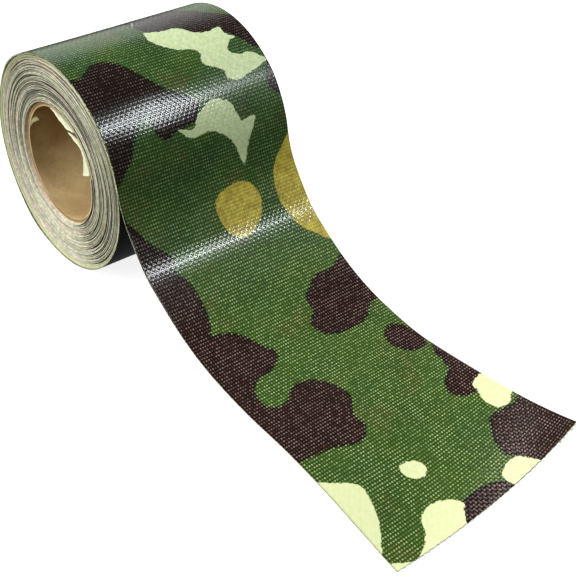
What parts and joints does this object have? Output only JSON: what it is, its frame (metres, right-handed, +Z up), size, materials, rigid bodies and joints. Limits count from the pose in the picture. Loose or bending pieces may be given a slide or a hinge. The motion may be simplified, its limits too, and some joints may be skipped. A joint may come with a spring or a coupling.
{
  "type": "cloth tape roll",
  "caption": "Roll of printed cloth tape on a cardboard core, its free end peeled off, swept down and laid out in front.",
  "frame": {"origin": "middle of the cardboard core's bore, halfway between the roll's two end faces", "axes": "+Y along the roll's axis from the near end face to the far one, +X towards the tail's cut end, +Z up"},
  "size_m": [0.1548, 0.05, 0.0547],
  "materials": {
    "kraft": "matte brown kraft paper, spirally wound",
    "cream_paper": "thin matte cream paper",
    "wound_edge": "slit edges of cloth tape, pale grey, cream and pink bands",
    "printed_film": "glossy camouflage print that shows the weave under it",
    "woven_cloth": "plain weave, off-white",
    "adhesive": "tacky rubber adhesive, satin"
  },
  "bodies": {
    "roll": {"core_inner_ply": "kraft", "core_middle_ply": "kraft", "core_outer_ply": "kraft", "mouth_tab_ragged": "cream_paper", "mouth_tab_square": "cream_paper", "mouth_tab_scrap": "cream_paper", "wound_tape": "wound_edge", "outer_wrap_film": "printed_film", "outer_wrap_cloth": "woven_cloth", "outer_wrap_adhesive": "adhesive"},
    "tail_drop": {"tail_drop_film": "printed_film", "tail_drop_cloth": "woven_cloth", "tail_drop_adhesive": "adhesive"},
    "tail_sweep": {"tail_sweep_film": "printed_film", "tail_sweep_cloth": "woven_cloth", "tail_sweep_adhesive": "adhesive"},
    "tail_run": {"tail_run_film": "printed_film", "tail_run_cloth": "woven_cloth", "tail_run_adhesive": "adhesive"},
    "free_corner": {"free_corner_film": "printed_film", "free_corner_cloth": "woven_cloth", "free_corner_adhesive": "adhesive"}
  },
  "joints": [
    {"name": "peel_flex", "type": "hinge", "parent": "roll", "child": "tail_drop", "pos_m": [0.02764, 0, 0.00326], "axis": [0, -1, 0], "range_deg": [0, 70]},
    {"name": "sweep_flex", "type": "hinge", "parent": "tail_drop", "child": "tail_sweep", "pos_m": [0.04766, 0, -0.01579], "axis": [0, -1, 0], "range_deg": [0, 45]},
    {"name": "run_flex", "type": "hinge", "parent": "tail_sweep", "child": "tail_run", "pos_m": [0.07466, 0, -0.02253], "axis": [0, -1, 0], "range_deg": [0, 40]},
    {"name": "corner_flex", "type": "hinge", "parent": "tail_run", "child": "free_corner", "pos_m": [0.11441, 0.01089, -0.02107], "axis": [0.661, -0.7434, -0.1026], "range_deg": [-25, 50]}
  ]
}
